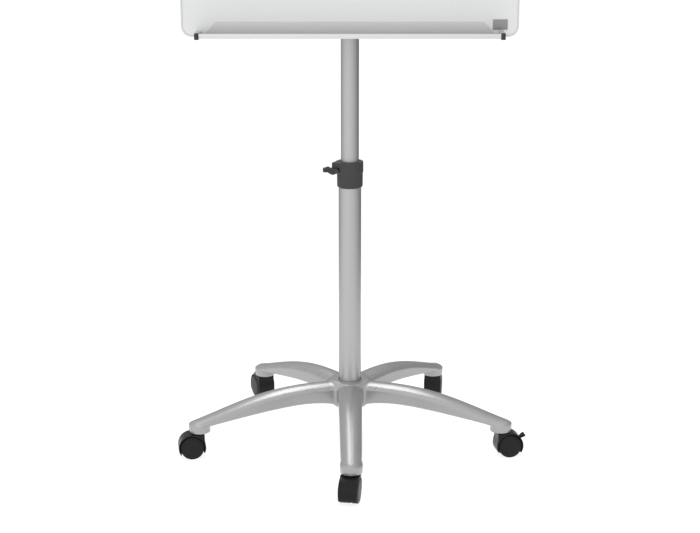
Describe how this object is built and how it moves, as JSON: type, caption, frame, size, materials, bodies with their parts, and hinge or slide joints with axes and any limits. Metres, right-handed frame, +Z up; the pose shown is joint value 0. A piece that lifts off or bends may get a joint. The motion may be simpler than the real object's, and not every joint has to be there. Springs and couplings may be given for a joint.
{
  "type": "mobile whiteboard easel",
  "caption": "Height-adjustable rolling whiteboard on a castored star base, with a clamping telescopic mast, a pen tray, a pad clamp and sliding pad pins.",
  "frame": {"origin": "on the floor, on the axis of the mast", "axes": "+Z up along the mast, +X to the reader's right, and the writing face looks towards -Y"},
  "size_m": [0.752, 0.7164, 1.8965],
  "materials": {
    "cast_base": "silver lacquer, satin",
    "silver_tube": "silver-grey paint, satin",
    "zinc_steel": "zinc plated",
    "spring_steel": "oiled",
    "black_nylon": "fine moulded texture",
    "castor_wheel": "smooth, satin",
    "bracket_steel": "silver-grey paint, satin",
    "white_enamel": "glossy white writing surface",
    "board_filler": "honeycomb board",
    "galvanised_sheet": "galvanised, dull",
    "trim_plastic": "light grey moulding",
    "tray_aluminium": "satin anodised",
    "badge_grey": "satin grey plate, blank",
    "pin_plastic": "smooth"
  },
  "bodies": {
    "base": {"base_star": "cast_base", "hub_bolt": "zinc_steel", "hub_washer": "zinc_steel", "column_plug": "black_nylon", "column_tube": "silver_tube", "castor_sleeves": "black_nylon", "castor_stems": "zinc_steel", "clamp_collar": "black_nylon", "column_bush": "black_nylon", "clamp_screw": "zinc_steel", "clamp_nut": "zinc_steel"},
    "mast_slider": {"mast_foot": "black_nylon"},
    "mast": {"mast_tube": "silver_tube", "mast_cap": "black_nylon", "lower_bracket": "bracket_steel", "upper_bracket": "bracket_steel", "lower_strap": "bracket_steel", "upper_strap": "bracket_steel", "strap_screws": "zinc_steel", "board_screws": "zinc_steel", "writing_sheet": "white_enamel", "board_core": "board_filler", "back_sheet": "galvanised_sheet", "edge_trim": "trim_plastic", "pen_tray": "tray_aluminium", "tray_screws": "zinc_steel", "tray_cap_left": "black_nylon", "tray_cap_right": "black_nylon", "badge_plate": "badge_grey", "clamp_rail": "tray_aluminium", "rail_screws": "zinc_steel", "rail_ends": "black_nylon", "hinge_rod": "zinc_steel", "clamp_springs": "spring_steel"},
    "clamp_lever": {"clamp_lever": "black_nylon"},
    "pad_bar": {"clamp_bar": "tray_aluminium"},
    "pad_pin_left": {"pad_pin_left": "pin_plastic"},
    "pad_pin_right": {"pad_pin_right": "pin_plastic"},
    "front_castor": {"front_castor_hood": "black_nylon", "front_castor_axle": "zinc_steel"},
    "front_castor_wheel_left": {"front_castor_wheel_left": "castor_wheel"},
    "front_castor_wheel_right": {"front_castor_wheel_right": "castor_wheel"},
    "right_castor": {"right_castor_hood": "black_nylon", "right_castor_axle": "zinc_steel"},
    "right_castor_wheel_left": {"right_castor_wheel_left": "castor_wheel"},
    "right_castor_wheel_right": {"right_castor_wheel_right": "castor_wheel"},
    "right_castor_brake": {"right_castor_brake": "black_nylon"},
    "back_right_castor": {"back_right_castor_hood": "black_nylon", "back_right_castor_axle": "zinc_steel"},
    "back_right_castor_wheel_left": {"back_right_castor_wheel_left": "castor_wheel"},
    "back_right_castor_wheel_right": {"back_right_castor_wheel_right": "castor_wheel"},
    "back_left_castor": {"back_left_castor_hood": "black_nylon", "back_left_castor_axle": "zinc_steel"},
    "back_left_castor_wheel_left": {"back_left_castor_wheel_left": "castor_wheel"},
    "back_left_castor_wheel_right": {"back_left_castor_wheel_right": "castor_wheel"},
    "back_left_castor_brake": {"back_left_castor_brake": "black_nylon"},
    "left_castor": {"left_castor_hood": "black_nylon", "left_castor_axle": "zinc_steel"},
    "left_castor_wheel_left": {"left_castor_wheel_left": "castor_wheel"},
    "left_castor_wheel_right": {"left_castor_wheel_right": "castor_wheel"}
  },
  "joints": [
    {"name": "height_slide", "type": "slide", "parent": "base", "child": "mast_slider", "axis": [0, 0, 1], "range_m": [-0.24, 0.12]},
    {"name": "mast_turn", "type": "hinge", "parent": "mast_slider", "child": "mast", "pos_m": [0, 0, 0.4], "axis": [0, 0, 1], "continuous": true},
    {"name": "clamp_lever_turn", "type": "hinge", "parent": "base", "child": "clamp_lever", "pos_m": [-0.03329, -0.01082, 0.6087], "axis": [0.309, -0.9511, 0], "range_deg": [0, 90]},
    {"name": "pad_bar_lift", "type": "hinge", "parent": "mast", "child": "pad_bar", "pos_m": [0, -0.0706, 1.88], "axis": [-1, 0, 0], "range_deg": [0, 45], "stiffness_Nm_per_rad": 0.35, "springref_deg": -40.11},
    {"name": "pad_pin_left_slide", "type": "slide", "parent": "mast", "child": "pad_pin_left", "axis": [1, 0, 0], "range_m": [-0.11, 0.09]},
    {"name": "pad_pin_right_slide", "type": "slide", "parent": "mast", "child": "pad_pin_right", "axis": [1, 0, 0], "range_m": [-0.09, 0.11]},
    {"name": "front_castor_swivel", "type": "hinge", "parent": "base", "child": "front_castor", "pos_m": [0.00297, -0.33999, 0.045], "axis": [0, 0, 1], "continuous": true},
    {"name": "front_left_wheel_spin", "type": "hinge", "parent": "front_castor", "child": "front_castor_wheel_left", "pos_m": [-0.00047, -0.35766, 0.025], "axis": [0.9816, -0.1908, 0], "continuous": true},
    {"name": "front_right_wheel_spin", "type": "hinge", "parent": "front_castor", "child": "front_castor_wheel_right", "pos_m": [-0.00047, -0.35766, 0.025], "axis": [0.9816, -0.1908, 0], "continuous": true},
    {"name": "right_castor_swivel", "type": "hinge", "parent": "base", "child": "right_castor", "pos_m": [0.32426, -0.10224, 0.045], "axis": [0, 0, 1], "continuous": true},
    {"name": "right_left_wheel_spin", "type": "hinge", "parent": "right_castor", "child": "right_castor_wheel_left", "pos_m": [0.34199, -0.09911, 0.025], "axis": [-0.1736, 0.9848, 0], "continuous": true},
    {"name": "right_right_wheel_spin", "type": "hinge", "parent": "right_castor", "child": "right_castor_wheel_right", "pos_m": [0.34199, -0.09911, 0.025], "axis": [-0.1736, 0.9848, 0], "continuous": true},
    {"name": "right_brake_press", "type": "hinge", "parent": "right_castor", "child": "right_castor_brake", "pos_m": [0.35649, -0.09656, 0.0335], "axis": [-0.1736, 0.9848, 0], "range_deg": [0, 20]},
    {"name": "back_right_castor_swivel", "type": "hinge", "parent": "base", "child": "back_right_castor", "pos_m": [0.19744, 0.2768, 0.045], "axis": [0, 0, 1], "continuous": true},
    {"name": "back_right_left_wheel_spin", "type": "hinge", "parent": "back_right_castor", "child": "back_right_castor_wheel_left", "pos_m": [0.19994, 0.29462, 0.025], "axis": [-0.9903, 0.1392, 0], "continuous": true},
    {"name": "back_right_right_wheel_spin", "type": "hinge", "parent": "back_right_castor", "child": "back_right_castor_wheel_right", "pos_m": [0.19994, 0.29462, 0.025], "axis": [-0.9903, 0.1392, 0], "continuous": true},
    {"name": "back_left_castor_swivel", "type": "hinge", "parent": "base", "child": "back_left_castor", "pos_m": [-0.20224, 0.27331, 0.045], "axis": [0, 0, 1], "continuous": true},
    {"name": "back_left_left_wheel_spin", "type": "hinge", "parent": "back_left_castor", "child": "back_left_castor_wheel_left", "pos_m": [-0.20985, 0.28962, 0.025], "axis": [-0.9063, -0.4226, 0], "continuous": true},
    {"name": "back_left_right_wheel_spin", "type": "hinge", "parent": "back_left_castor", "child": "back_left_castor_wheel_right", "pos_m": [-0.20985, 0.28962, 0.025], "axis": [-0.9063, -0.4226, 0], "continuous": true},
    {"name": "back_left_brake_press", "type": "hinge", "parent": "back_left_castor", "child": "back_left_castor_brake", "pos_m": [-0.21607, 0.30297, 0.0335], "axis": [-0.9063, -0.4226, 0], "range_deg": [0, 20]},
    {"name": "left_castor_swivel", "type": "hinge", "parent": "base", "child": "left_castor", "pos_m": [-0.32243, -0.10788, 0.045], "axis": [0, 0, 1], "continuous": true},
    {"name": "left_left_wheel_spin", "type": "hinge", "parent": "left_castor", "child": "left_castor_wheel_left", "pos_m": [-0.34021, -0.1107, 0.025], "axis": [0.1564, -0.9877, 0], "continuous": true},
    {"name": "left_right_wheel_spin", "type": "hinge", "parent": "left_castor", "child": "left_castor_wheel_right", "pos_m": [-0.34021, -0.1107, 0.025], "axis": [0.1564, -0.9877, 0], "continuous": true}
  ]
}
